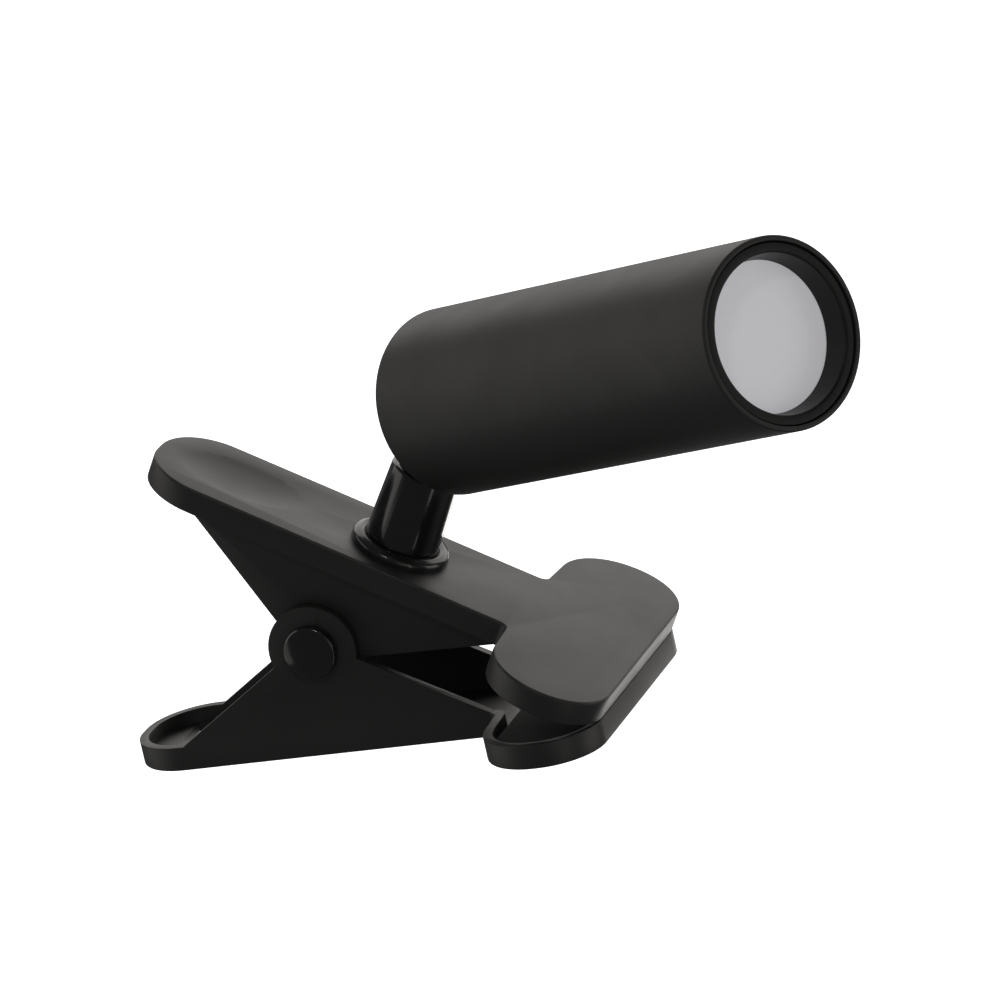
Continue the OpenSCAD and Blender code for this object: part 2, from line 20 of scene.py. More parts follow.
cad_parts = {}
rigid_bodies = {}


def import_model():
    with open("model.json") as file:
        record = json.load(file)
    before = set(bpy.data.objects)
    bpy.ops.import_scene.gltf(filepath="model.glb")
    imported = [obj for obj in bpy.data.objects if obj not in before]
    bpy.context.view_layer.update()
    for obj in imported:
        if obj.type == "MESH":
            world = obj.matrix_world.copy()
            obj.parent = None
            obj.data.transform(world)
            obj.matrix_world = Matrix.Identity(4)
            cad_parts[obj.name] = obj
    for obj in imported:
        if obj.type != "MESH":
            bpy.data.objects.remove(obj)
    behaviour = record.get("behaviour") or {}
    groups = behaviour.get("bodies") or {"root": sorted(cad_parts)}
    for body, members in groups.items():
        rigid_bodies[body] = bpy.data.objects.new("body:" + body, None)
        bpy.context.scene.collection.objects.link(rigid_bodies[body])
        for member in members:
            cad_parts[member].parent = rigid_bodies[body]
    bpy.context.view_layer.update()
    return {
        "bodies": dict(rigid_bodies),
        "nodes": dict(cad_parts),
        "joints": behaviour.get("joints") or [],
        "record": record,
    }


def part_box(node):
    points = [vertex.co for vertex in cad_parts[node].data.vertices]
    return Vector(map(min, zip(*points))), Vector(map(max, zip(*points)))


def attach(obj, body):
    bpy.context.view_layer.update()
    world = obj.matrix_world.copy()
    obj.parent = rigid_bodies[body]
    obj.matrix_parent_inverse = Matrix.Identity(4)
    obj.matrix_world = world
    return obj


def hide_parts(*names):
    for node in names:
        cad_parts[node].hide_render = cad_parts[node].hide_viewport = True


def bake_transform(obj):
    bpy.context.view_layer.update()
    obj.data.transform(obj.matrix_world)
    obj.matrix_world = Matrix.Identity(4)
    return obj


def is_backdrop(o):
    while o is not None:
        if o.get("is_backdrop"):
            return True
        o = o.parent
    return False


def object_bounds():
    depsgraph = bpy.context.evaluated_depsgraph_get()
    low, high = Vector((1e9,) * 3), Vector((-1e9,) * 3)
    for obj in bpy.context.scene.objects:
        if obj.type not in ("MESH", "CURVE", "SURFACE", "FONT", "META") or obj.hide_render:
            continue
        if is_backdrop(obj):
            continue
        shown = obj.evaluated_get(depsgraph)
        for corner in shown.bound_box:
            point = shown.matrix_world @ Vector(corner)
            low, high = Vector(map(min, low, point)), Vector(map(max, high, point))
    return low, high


LOG = logging.getLogger("reading_lamp")
MM = 0.001
CLOUD = {"Scale": 60.0, "Detail": 5.0, "Roughness": 0.6}
CLOUD_SPAN = (0.25, 0.75)
GRAIN = {"Scale": 1.0, "Detail": 3.0}
GRAIN_RISE = 0.2 * MM
LEAST_ROUGH = 0.02
SCATTER_DEPTH = 3 * MM
SMOOTH_BELOW = math.radians(32)
FLAT_WITHIN = math.radians(0.6)
CAD_WELD = 0.002 * MM
END_WELD = 0.0005 * MM
Point = tuple[float, float]
Colour = tuple[float, float, float]


class Body(Enum):
    """The rigid bodies that pieces ride on."""

    UPPER_JAW = "upper_jaw"
    LOWER_JAW = "lower_jaw"
    STEM = "stem"
    HEAD = "head"
    BUTTON = "button"


class Grain(Enum):
    """The fine surface that a finish has, as (size in metres, depth, stretch along X)."""

    NONE = (0.0, 0.0, 1.0)
    POLISHED = (0.012, 0.02, 1.0)
    SATIN = (0.0007, 0.05, 1.0)
    POWDER = (0.0011, 0.09, 1.0)
    RUBBER = (0.0005, 0.16, 1.0)
    BRUSHED = (0.0004, 0.06, 0.06)


# ---- finishes


def set_values(node: bpy.types.Node, values: dict[str, Any]) -> None:
    """Sets a node's unlinked inputs by their names."""
    for label, value in values.items():
        node.inputs[label].default_value = value


@dataclass(frozen=True)
class Finish:
    """A surface finish, built as a node material.

    Args:
        slot: The record's material slot that the finish answers to.
        colour: Base colour, linear.
        rough: Mean roughness.
        rough_swing: How far the roughness drifts over a few centimetres.
        tint_swing: How far the colour drifts, as a share of itself.
        metallic: 1 for bare metal.
        grain: The fine surface.
        coat: Weight of a clear coat.
        coat_rough: Roughness of that coat.
        specular: Specular level of the base.
        through: Weight of light scattered below the surface.
        painted_glow: Painted light: strength of an even emission that stands in for light falling on
            the surface.
        variant: Sets apart a second finish of the same slot.
    """

    slot: str
    colour: Colour
    rough: float
    rough_swing: float = 0.04
    tint_swing: float = 0.12
    metallic: float = 0.0
    grain: Grain = Grain.SATIN
    coat: float = 0.0
    coat_rough: float = 0.05
    specular: float = 0.5
    through: float = 0.0
    painted_glow: float = 0.0
    variant: str = ""

    def material(self) -> bpy.types.Material:
        """Builds the material, or returns the one that is built already.

        Returns:
            The finished material.
        """
        name = f"{self.slot}{self.variant}_finish"
        found = bpy.data.materials.get(name)
        if found:
            return found
        made = bpy.data.materials.new(name)
        made.use_nodes = True
        tree = made.node_tree
        shader = tree.nodes["Principled BSDF"]
        values: dict[str, Any] = {
            "Metallic": self.metallic,
            "Specular IOR Level": self.specular,
            "Coat Weight": self.coat,
            "Coat Roughness": self.coat_rough,
        }
        if self.through:
            values |= {"Subsurface Weight": self.through, "Subsurface Scale": SCATTER_DEPTH}
        # Painted light: an even emission that stands in for light falling on the surface.
        if self.painted_glow:
            values |= {"Emission Color": (*self.colour, 1.0), "Emission Strength": self.painted_glow}
        set_values(shader, values)
        place = tree.nodes.new("ShaderNodeTexCoord").outputs["Object"]
        self._drift(tree, shader, place)
        if self.grain is not Grain.NONE:
            self._bump(tree, shader, place)
        return made

    def _drift(
        self, tree: bpy.types.NodeTree, shader: bpy.types.Node, place: bpy.types.NodeSocket
    ) -> None:
        """Slow drift of roughness and colour, as handling and moulding leave it."""
        cloud = tree.nodes.new("ShaderNodeTexNoise")
        set_values(cloud, CLOUD)
        tree.links.new(place, cloud.inputs["Vector"])
        rough = tree.nodes.new("ShaderNodeMapRange")
        values = {
            "From Min": CLOUD_SPAN[0],
            "From Max": CLOUD_SPAN[1],
            "To Min": max(self.rough - self.rough_swing, LEAST_ROUGH),
            "To Max": self.rough + self.rough_swing,
        }
        set_values(rough, values)
        tree.links.new(cloud.outputs["Fac"], rough.inputs["Value"])
        tree.links.new(rough.outputs["Result"], shader.inputs["Roughness"])
        tint = tree.nodes.new("ShaderNodeMix")
        tint.data_type = "RGBA"
        for name, side in (("A", -1), ("B", 1)):
            shade = [min(c * (1 + side * self.tint_swing), 1.0) for c in self.colour]
            socket = next(s for s in tint.inputs if s.name == name and s.type == "RGBA")
            socket.default_value = (*shade, 1.0)
        result = next(s for s in tint.outputs if s.type == "RGBA")
        tree.links.new(cloud.outputs["Fac"], tint.inputs["Factor"])
        tree.links.new(result, shader.inputs["Base Color"])

    def _bump(
        self, tree: bpy.types.NodeTree, shader: bpy.types.Node, place: bpy.types.NodeSocket
    ) -> None:
        """Fine grain of the surface, as a bump."""
        size, depth, stretch = self.grain.value
        mapping = tree.nodes.new("ShaderNodeMapping")
        mapping.inputs["Scale"].default_value = (stretch / size, 1 / size, 1 / size)
        tree.links.new(place, mapping.inputs["Vector"])
        noise = tree.nodes.new("ShaderNodeTexNoise")
        set_values(noise, GRAIN)
        tree.links.new(mapping.outputs["Vector"], noise.inputs["Vector"])
        bump = tree.nodes.new("ShaderNodeBump")
        set_values(bump, {"Strength": depth, "Distance": GRAIN_RISE})
        tree.links.new(noise.outputs["Fac"], bump.inputs["Height"])
        tree.links.new(bump.outputs["Normal"], shader.inputs["Normal"])


class Finishes(Enum):
    """Every finish on the lamp."""

    CLIP = Finish("clip_plastic", (0.020, 0.0195, 0.019), 0.47)
    GRIP = Finish("grip_rubber", (0.012, 0.012, 0.012), 0.78, grain=Grain.RUBBER)
    STEEL = Finish("bright_steel", (0.62, 0.62, 0.63), 0.26, metallic=1.0, grain=Grain.BRUSHED)
    INNER = Finish("inner_plastic", (0.05, 0.05, 0.05), 0.5)
    GLOSS = Finish(
        "gloss_black", (0.007, 0.007, 0.007), 0.16, 0.02,
        grain=Grain.POLISHED, coat=0.3, coat_rough=0.09,
    )
    SATIN_RING = Finish(
        "gloss_black", (0.014, 0.014, 0.0137), 0.17, 0.01, grain=Grain.POLISHED, variant="_satin"
    )
    DARK_STEEL = Finish(
        "dark_steel", (0.10, 0.10, 0.105), 0.34, metallic=1.0, grain=Grain.BRUSHED
    )
    TUBE = Finish("tube_black", (0.019, 0.0185, 0.018), 0.50, 0.05, grain=Grain.POWDER, specular=0.46)
    CAP = Finish("cap_plastic", (0.018, 0.018, 0.018), 0.46)
    BUTTON = Finish("button_plastic", (0.032, 0.032, 0.034), 0.38)
    PIPE = Finish("light_pipe", (0.70, 0.85, 0.72), 0.25, grain=Grain.NONE, through=0.3)
    BOARD = Finish("board_green", (0.02, 0.13, 0.05), 0.35, tint_swing=0.3)
    CHIP = Finish("chip_black", (0.02, 0.02, 0.02), 0.55)
    CELL = Finish("cell_wrap", (0.05, 0.22, 0.42), 0.28, grain=Grain.POLISHED)
    CRADLE = Finish("cradle_plastic", (0.62, 0.62, 0.60), 0.5)
    LEAD = Finish("lead_red", (0.5, 0.03, 0.02), 0.4)
    SINK = Finish("sink_aluminium", (0.75, 0.76, 0.77), 0.38, metallic=1.0, grain=Grain.BRUSHED)
    LED_BOARD = Finish("board_white", (0.85, 0.85, 0.83), 0.35)
    PHOSPHOR = Finish("led_phosphor", (0.90, 0.75, 0.25), 0.3, grain=Grain.POLISHED)
    REFLECTOR = Finish("reflector_white", (0.90, 0.90, 0.88), 0.3)
    # The diffuser's emission is painted light: the LEDs are not lit, and it stands in for the light
    # that falls on the disc from outside the lamp.
    OPAL = Finish(
        "opal", (0.65, 0.66, 0.69), 0.42, 0.02, 0.02, grain=Grain.POLISHED, through=0.35, painted_glow=0.42
    )
    BEZEL = Finish("bezel_black", (0.005, 0.0049, 0.0048), 0.40, specular=0.28)


# ---- mesh work


@dataclass(frozen=True)
class Arc:
    """A corner of an outline that is rounded off.

    Args:
        at: The corner, before rounding.
        radius: Radius of the round, or 0 for a sharp corner.
    """

    at: Point
    radius: float = 0.0


def rounded_outline(corners: Sequence[Arc], steps: int = 6) -> list[Point]:
    """Points of a closed outline with its corners rounded.

    Args:
        corners: The corners in order.
        steps: Flats along each round.

    Returns:
        The outline's points in the same order.
    """
    points: list[Point] = []
    count = len(corners)
    for i, corner in enumerate(corners):
        here = Vector(corner.at)
        if corner.radius <= 0:
            points.append(corner.at)
            continue
        back = (Vector(corners[i - 1].at) - here).normalized()
        ahead = (Vector(corners[(i + 1) % count].at) - here).normalized()
        half = back.angle(ahead) / 2
        middle = here + (back + ahead).normalized() * corner.radius / math.sin(half)
        start = here + back * corner.radius / math.tan(half) - middle
        end = here + ahead * corner.radius / math.tan(half) - middle
        swing = start.angle_signed(end)
        for k in range(steps + 1):
            turned = start.copy()
            turned.rotate(Matrix.Rotation(-swing * k / steps, 2))
            points.append(tuple(middle + turned))
    return points


def with_rings(outline: Sequence[Point], count: int, longest: float) -> list[Point]:
    """Splits an outline's long sides, so that its surface has evenly spaced rings.

    Args:
        outline: The closed outline.
        count: Parts that a long side is split into.
        longest: Length from which a side is split.

    Returns:
        The outline with more points.
    """
    points: list[Point] = []
    for k, here in enumerate(outline):
        points.append(here)
        ahead = outline[(k + 1) % len(outline)]
        if math.dist(here, ahead) < longest:
            continue
        for i in range(1, count):
            t = i / count
            points.append(tuple(a + (b - a) * t for a, b in zip(here, ahead)))
    return points


class Shape:
    """A mesh being made, which ends as an object in the row frame."""

    def __init__(self, name: str) -> None:
        """Starts an empty shape.

        Args:
            name: The piece's name.
        """
        self.name = name
        self.mesh = bmesh.new()

    def turned(self, outline: Sequence[Point], frame: Matrix, steps: int = 128) -> Shape:
        """Adds a solid of revolution about the frame's X axis.

        Args:
            outline: Closed outline of [radius, x] points.
            frame: Where the axis lies.
            steps: Flats round the axis.

        Returns:
            The shape itself.
        """
        on_axis = [r <= 1e-9 for r, _ in outline]
        rings: list[list[bmesh.types.BMVert]] = []
        for k in range(steps):
            a = 2 * math.pi * k / steps
            ring = []
            for i, (r, x) in enumerate(outline):
                if on_axis[i] and k:
                    ring.append(rings[0][i])
                    continue
                place = Vector((x, r * math.sin(a), r * math.cos(a)))
                ring.append(self.mesh.verts.new(frame @ place))
            rings.append(ring)
        count = len(outline)
        for k in range(steps):
            ring, following = rings[k], rings[(k + 1) % steps]
            for i in range(count):
                j = (i + 1) % count
                loop = [ring[i], ring[j], following[j], following[i]]
                distinct = list(dict.fromkeys(loop))
                if len(distinct) > 2 and not (on_axis[i] and on_axis[j]):
                    self.mesh.faces.new(distinct)
        return self

    def prism(
        self, outline: Sequence[Point], frame: Matrix, low: float, high: float, edge: float
    ) -> Shape:
        """Adds a prism along the frame's Y axis, with its edges rounded.

        Args:
            outline: Closed outline of [x, z] points.
            frame: Where it lies.
            low: Where it starts along Y.
            high: Where it ends along Y.
            edge: Round along its ends' edges.

        Returns:
            The shape itself.
        """
        ends = [
            [self.mesh.verts.new(frame @ Vector((x, y, z))) for x, z in outline]
            for y in (low, high)
        ]
        faces = [self.mesh.faces.new(ends[0]), self.mesh.faces.new(ends[1][::-1])]
        count = len(outline)
        for k in range(count):
            j = (k + 1) % count
            self.mesh.faces.new((ends[0][j], ends[0][k], ends[1][k], ends[1][j]))
        return self._bevelled([e for f in faces for e in f.edges], edge, 3)

    def _bevelled(self, edges: Sequence[bmesh.types.BMEdge], width: float, steps: int) -> Shape:
        """Rounds the given edges."""
        bmesh.ops.bevel(
            self.mesh, geom=edges, offset=width, offset_type="OFFSET",
            segments=steps, profile=0.5, affect="EDGES", clamp_overlap=True,
        )
        return self

    def copied(self, node: str) -> Shape:
        """Adds a CAD node's mesh, with its loose triangles merged into flat faces.

        Args:
            node: The CAD node.

        Returns:
            The shape itself.
        """
        source = bpy.data.objects[node].data
        self.mesh.from_mesh(source)
        bmesh.ops.remove_doubles(self.mesh, verts=self.mesh.verts, dist=CAD_WELD)
        bmesh.ops.dissolve_limit(
            self.mesh, angle_limit=FLAT_WITHIN, use_dissolve_boundaries=False,
            verts=self.mesh.verts, edges=self.mesh.edges,
        )
        return self

    def softened(
        self,
        width: float,
        steps: int = 2,
        chosen: Callable[[bmesh.types.BMEdge], bool] | None = None,
        sharper_than: float = 40.0,
    ) -> Shape:
        """Rounds the edges that are sharper than an angle.

        Args:
            width: How far the round reaches from the edge.
            steps: Flats across the round.
            chosen: Which edges to round, or None for all.
            sharper_than: Angle in degrees.

        Returns:
            The shape itself.
        """
        limit = math.radians(sharper_than)
        edges = [
            e for e in self.mesh.edges
            if len(e.link_faces) == 2 and e.calc_face_angle(0.0) > limit and (not chosen or chosen(e))
        ]
        return self._bevelled(edges, width, steps)

    def piece(self, body: Body, finish: Finishes, nodes: Iterable[str] = ()) -> bpy.types.Object:
        """Ends the shape as an object that rides on a body.

        Args:
            body: The body that it rides on.
            finish: Its finish.
            nodes: The CAD nodes that it stands for.

        Returns:
            The object.
        """
        bmesh.ops.remove_doubles(self.mesh, verts=self.mesh.verts, dist=END_WELD)
        bmesh.ops.recalc_face_normals(self.mesh, faces=self.mesh.faces)
        return dress(as_mesh(self.mesh, self.name), self.name, body, finish, nodes)


def linked(name: str, data: bpy.types.ID) -> bpy.types.Object:
    """Adds an object with this data to the scene."""
    made = bpy.data.objects.new(name, data)
    bpy.context.scene.collection.objects.link(made)
    return made


def as_mesh(work: bmesh.types.BMesh, name: str) -> bpy.types.Mesh:
    """Ends a mesh being made as plain mesh data."""
    data = bpy.data.meshes.new(name)
    work.to_mesh(data)
    work.free()
    return data


def dress(
    data: bpy.types.Mesh, name: str, body: Body | None, finish: Finishes, nodes: Iterable[str] = ()
) -> bpy.types.Object:
    """Makes a mesh a piece: smooth between its sharp edges, dressed and riding.

    Args:
        data: The mesh, in the row frame.
        name: The piece's name.
        body: The body that it rides on, or None for a piece that spans two bodies and rides on
            neither.
        finish: Its finish.
        nodes: The CAD nodes that it stands for.

    Returns:
        The object.
    """
    made = linked(name, data)
    data.materials.clear()
    data.materials.append(finish.value.material())
    data.shade_smooth()
    data.set_sharp_from_angle(angle=SMOOTH_BELOW)
    if body:
        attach(made, body.value)
    if nodes:
        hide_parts(*nodes)
    LOG.info("%s: %d faces, on %s", name, len(data.polygons), body.value if body else "two bodies")
    return made


# ---- places


@dataclass
class Places:
    """The lamp's own axes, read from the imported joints.

    Args:
        joints: The joints of the frame.

    Attributes:
        hinge: The hinge's middle.
        upper: The upper jaw's axes, from there.
        stem: The stem's axes, from its foot.
        tube: The tube's axes, from the middle of its rear end.
    """

    joints: Sequence[dict[str, Any]]
    hinge: Vector = field(init=False)
    upper: Matrix = field(init=False)
    stem: Matrix = field(init=False)
    tube: Matrix = field(init=False)

    def __post_init__(self) -> None:
        """Works the frames out."""
        by_name = {j["name"]: j for j in self.joints}
        across = Vector((0, 1, 0))
        self.hinge = Vector(by_name["jaw_hinge"]["pos_m"])
        normal = Vector(by_name["stem_swivel"]["axis"]).normalized()
        self.upper = basis(across.cross(normal), across, normal, self.hinge)
        pin = Vector(by_name["head_tilt"]["axis"]).normalized()
        foot = Vector(by_name["stem_swivel"]["pos_m"])
        self.stem = basis(pin.cross(normal), pin, normal, foot)
        along = Vector(by_name["button_press"]["axis"]).normalized()
        knuckle = Vector(by_name["head_tilt"]["pos_m"])
        tilt = basis(along, pin, along.cross(pin), knuckle)
        low, high = local_box("head_tube", tilt)
        rear = Vector((low.x, (low.y + high.y) / 2, (low.z + high.z) / 2))
        self.tube = tilt @ Matrix.Translation(rear)

    def lower(self) -> Matrix:
        """The lower jaw's axes: the upper jaw's, mirrored in the plane where they meet."""
        return Matrix.Scale(-1, 4, Vector((0, 0, 1))) @ self.upper


def basis(x: Vector, y: Vector, z: Vector, origin: Vector) -> Matrix:
    """The matrix with these axes and origin."""
    made = Matrix.Identity(4)
    for i, axis in enumerate((x, y, z)):
        made.col[i].xyz = axis.normalized()
    made.translation = origin
    return made


def local_box(node: str, frame: Matrix) -> tuple[Vector, Vector]:
    """A CAD node's lowest and highest corners along the axes of a frame.

    Args:
        node: The CAD node.
        frame: The axes to measure along.

    Returns:
        The two corners, in that frame.
    """
    inverse = frame.inverted()
    points = [inverse @ v.co for v in bpy.data.objects[node].data.vertices]
    low = Vector(min(p[i] for p in points) for i in range(3))
    high = Vector(max(p[i] for p in points) for i in range(3))
    return low, high


def inner_radius(node: str, frame: Matrix) -> float:
    """The smallest distance of a CAD node's vertices from the frame's X axis."""
    inverse = frame.inverted()
    points = [inverse @ v.co for v in bpy.data.objects[node].data.vertices]
    return min(math.hypot(p.y, p.z) for p in points)


# ---- grown pieces


class GrowTree:
    """A Geometry Nodes tree with named inputs, which turns a host mesh into a piece's mesh."""

    def __init__(self, name: str, sizes: dict[str, float | int], finish: Finishes) -> None:
        """Starts the tree.

        Args:
            name: The tree's name.
            sizes: Its named inputs and their values.
            finish: The finish that the tree sets at its end.
        """
        self.finish = finish
        self.sizes = sizes
        self.tree = bpy.data.node_groups.new(name, "GeometryNodeTree")
        face = self.tree.interface
        face.new_socket("Host", in_out="INPUT", socket_type="NodeSocketGeometry")
        self.identifiers: dict[str, str] = {}
        for label, value in sizes.items():
            kind = "NodeSocketInt" if isinstance(value, int) else "NodeSocketFloat"
            socket = face.new_socket(label, in_out="INPUT", socket_type=kind)
            self.identifiers[label] = socket.identifier
        face.new_socket("Geometry", in_out="OUTPUT", socket_type="NodeSocketGeometry")
        self.inputs = self.tree.nodes.new("NodeGroupInput").outputs

    def node(self, kind: str, **links: Any) -> bpy.types.Node:
        """Adds a node.

        Args:
            kind: The node's type.
            links: Its inputs by name, spaces as underscores: a socket to link or a value.

        Returns:
            The node.
        """
        made = self.tree.nodes.new(kind)
        for label, value in links.items():
            socket = made.inputs[label.replace("_", " ")]
            if isinstance(value, bpy.types.NodeSocket):
                self.tree.links.new(value, socket)
            else:
                socket.default_value = value
        return made

    def grown(self, last: bpy.types.NodeSocket, host: bpy.types.Mesh) -> bpy.types.Mesh:
        """Ends the tree, runs it on a host mesh and returns the plain mesh that it makes.

        Args:
            last: The socket that holds the finished geometry.
            host: The mesh that the tree starts from.

        Returns:
            The mesh, with every instance made real.
        """
        real = self.node("GeometryNodeRealizeInstances", Geometry=last)
        dressed = self.node(
            "GeometryNodeSetMaterial",
            Geometry=real.outputs["Geometry"], Material=self.finish.value.material(),
        )
        end = self.tree.nodes.new("NodeGroupOutput")
        self.tree.links.new(dressed.outputs["Geometry"], end.inputs["Geometry"])
        carrier = linked(self.tree.name + "_host", host)
        modifier = carrier.modifiers.new("grow", "NODES")
        modifier.node_group = self.tree
        for label, value in self.sizes.items():
            modifier[self.identifiers[label]] = value
        graph = bpy.context.evaluated_depsgraph_get()
        mesh = bpy.data.meshes.new_from_object(carrier.evaluated_get(graph))
        carrier.modifiers.remove(modifier)
        bpy.data.objects.remove(carrier)
        return mesh

    def set_out(
        self, points: bpy.types.NodeSocket, host: bpy.types.Mesh, frame: Matrix
    ) -> bpy.types.Mesh:
        """Ends the tree with its host set out on points, and moves the mesh to a frame.

        Args:
            points: The socket that holds the points.
            host: The mesh to set out.
            frame: Where the mesh goes.

        Returns:
            The mesh.
        """
        placed = self.node(
            "GeometryNodeInstanceOnPoints", Points=points, Instance=self.inputs["Host"]
        )
        mesh = self.grown(placed.outputs["Instances"], host)
        mesh.transform(frame)
        return mesh


# ---- clip


@dataclass
class Clip:
    """The two jaws, their pads, hinge and spring.

    Args:
        places: The lamp's axes.
        edge: Round along a jaw's outer edge.
        small_edge: Round along its other edges.
        pad_edge: Round along a pad's rim.
        cap_dome: Rise of a pin cap's dome above its wall.
        cap_edge: Round where that dome meets the wall.
        cap_foot: Round at that wall's foot.
        dome_steps: Flats across half of that dome.
        wire: Radius of the spring's wire.
        coil: Mean radius of the spring's coil.
        turns: Full turns between the spring's legs.
        leg_at: Where the spring's legs end, behind the hinge.
        leg_height: Height of the leg ends, against the plates.
        leg_rise: How far the lower leg's end stands off its plate.
    """

    places: Places
    edge: float = 0.6 * MM
    small_edge: float = 0.25 * MM
    pad_edge: float = 0.6 * MM
    cap_dome: float = 1.1 * MM
    cap_edge: float = 0.7 * MM
    cap_foot: float = 0.15 * MM
    dome_steps: int = 12
    wire: float = 1.0 * MM
    coil: float = 5.8 * MM
    turns: int = 4
    leg_at: float = 28 * MM
    leg_height: float = 20.55 * MM
    leg_rise: float = 0.2 * MM

    def build(self) -> None:
        """Builds every piece of the clip."""
        self._jaw("upper_jaw", Body.UPPER_JAW, self.places.upper)
        self._jaw("lower_jaw", Body.LOWER_JAW, self.places.lower())
        for name, body in (("upper", Body.UPPER_JAW), ("lower", Body.LOWER_JAW)):
            node = name + "_grip_pad"
            shape = Shape(name + "_pad").copied(node).softened(self.pad_edge, 3)
            shape.piece(body, Finishes.GRIP, [node])
        for node, side in (("pin_cap_left", 1), ("pin_cap_right", -1)):
            self._cap(node, side)
        fittings = {"pivot_pin": Finishes.STEEL, "pivot_sleeve": Finishes.INNER}
        softened_copies(Body.LOWER_JAW, fittings)
        self._spring()

    def _jaw(self, node: str, body: Body, frame: Matrix) -> None:
        """One jaw: a large round along its outer face, and small ones elsewhere."""
        shape = Shape(node + "_moulding").copied(node)
        _, high = local_box(node, frame)
        outer = frame.to_3x3() @ Vector((0, 0, 1))
        face_at = (frame @ Vector((0, 0, high.z))).dot(outer)
        near = 0.05 * MM
        shortest = 0.3 * MM

        def on_face(edge: bmesh.types.BMEdge) -> bool:
            """Whether an edge lies in the jaw's outer face, along its outside."""
            flat = all(abs(v.co.dot(outer) - face_at) < near for v in edge.verts)
            return flat and edge.is_convex

        shape.softened(self.edge, 5, on_face, sharper_than=60)
        shape.softened(self.small_edge, 2, lambda e: e.calc_length() > shortest, sharper_than=50)
        shape.piece(body, Finishes.CLIP, [node])

    def _cap(self, node: str, side: int) -> None:
        """The cap on one end of the pin: a round wall under a shallow dome."""
        low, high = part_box(node)
        radius = (high[0] - low[0]) / 2
        rise = high[1] - low[1]
        wall = rise - self.cap_dome
        axis = Vector((0, side, 0))
        foot = Vector(self.places.hinge)
        foot.y = low[1] if side > 0 else high[1]
        frame = basis(axis, Vector((0, 0, 1)), axis.cross(Vector((0, 0, 1))), foot)
        dome = (radius**2 + self.cap_dome**2) / (2 * self.cap_dome)
        lean = math.asin(radius / dome)
        shoulder = [
            Arc((0.0, 0.0)),
            Arc((radius, 0.0), self.cap_foot),
            Arc((radius, wall), self.cap_edge),
        ]
        for k in range(1, self.dome_steps + 1):
            a = lean * (1 - k / self.dome_steps)
            shoulder.append(Arc((dome * math.sin(a), rise - dome + dome * math.cos(a))))
        shape = Shape(node + "_dome").turned(rounded_outline(shoulder), frame, 96)
        shape.piece(Body.LOWER_JAW, Finishes.GLOSS, [node])

    def _spring(self) -> None:
        """The torsion spring, a round wire along a path, which twists between the jaws."""
        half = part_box("torsion_spring")[1][1] - self.wire
        lean = math.atan2(self.leg_height, self.leg_at) + self._jaw_angle()
        reach = math.hypot(self.leg_at, self.leg_height)
        touch = math.pi - lean - math.acos(self.coil / reach)
        swept = 2 * touch + 2 * math.pi * self.turns
        steps = math.ceil(swept / math.radians(6))
        path = [(-reach * math.cos(lean), -half, reach * math.sin(lean))]
        for k in range(steps + 1):
            a = touch - swept * k / steps
            path.append(
                (self.coil * math.cos(a), half * (2 * k / steps - 1), self.coil * math.sin(a))
            )
        path.append((-reach * math.cos(lean), half, -reach * math.sin(lean) + self.leg_rise))
        host = bpy.data.meshes.new("spring_path")
        points = [self.places.hinge + Vector(p) for p in path]
        host.from_pydata(points, [(k, k + 1) for k in range(len(points) - 1)], [])
        grow = GrowTree("spring", {"Wire radius": self.wire, "Sides": 16}, Finishes.STEEL)
        line = grow.node("GeometryNodeMeshToCurve", Mesh=grow.inputs["Host"])
        ring = grow.node(
            "GeometryNodeCurvePrimitiveCircle",
            Radius=grow.inputs["Wire radius"], Resolution=grow.inputs["Sides"],
        )
        wire = grow.node(
            "GeometryNodeCurveToMesh", Fill_Caps=True,
            Curve=line.outputs["Curve"], Profile_Curve=ring.outputs["Curve"],
        )
        mesh = grow.grown(wire.outputs["Mesh"], host)
        made = dress(mesh, "spring_wire", None, Finishes.STEEL, ["torsion_spring"])
        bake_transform(made)

    def _jaw_angle(self) -> float:
        """How far the upper plate leans from level."""
        return self.places.upper.col[2].xyz.angle(Vector((0, 0, 1)))


# ---- stem


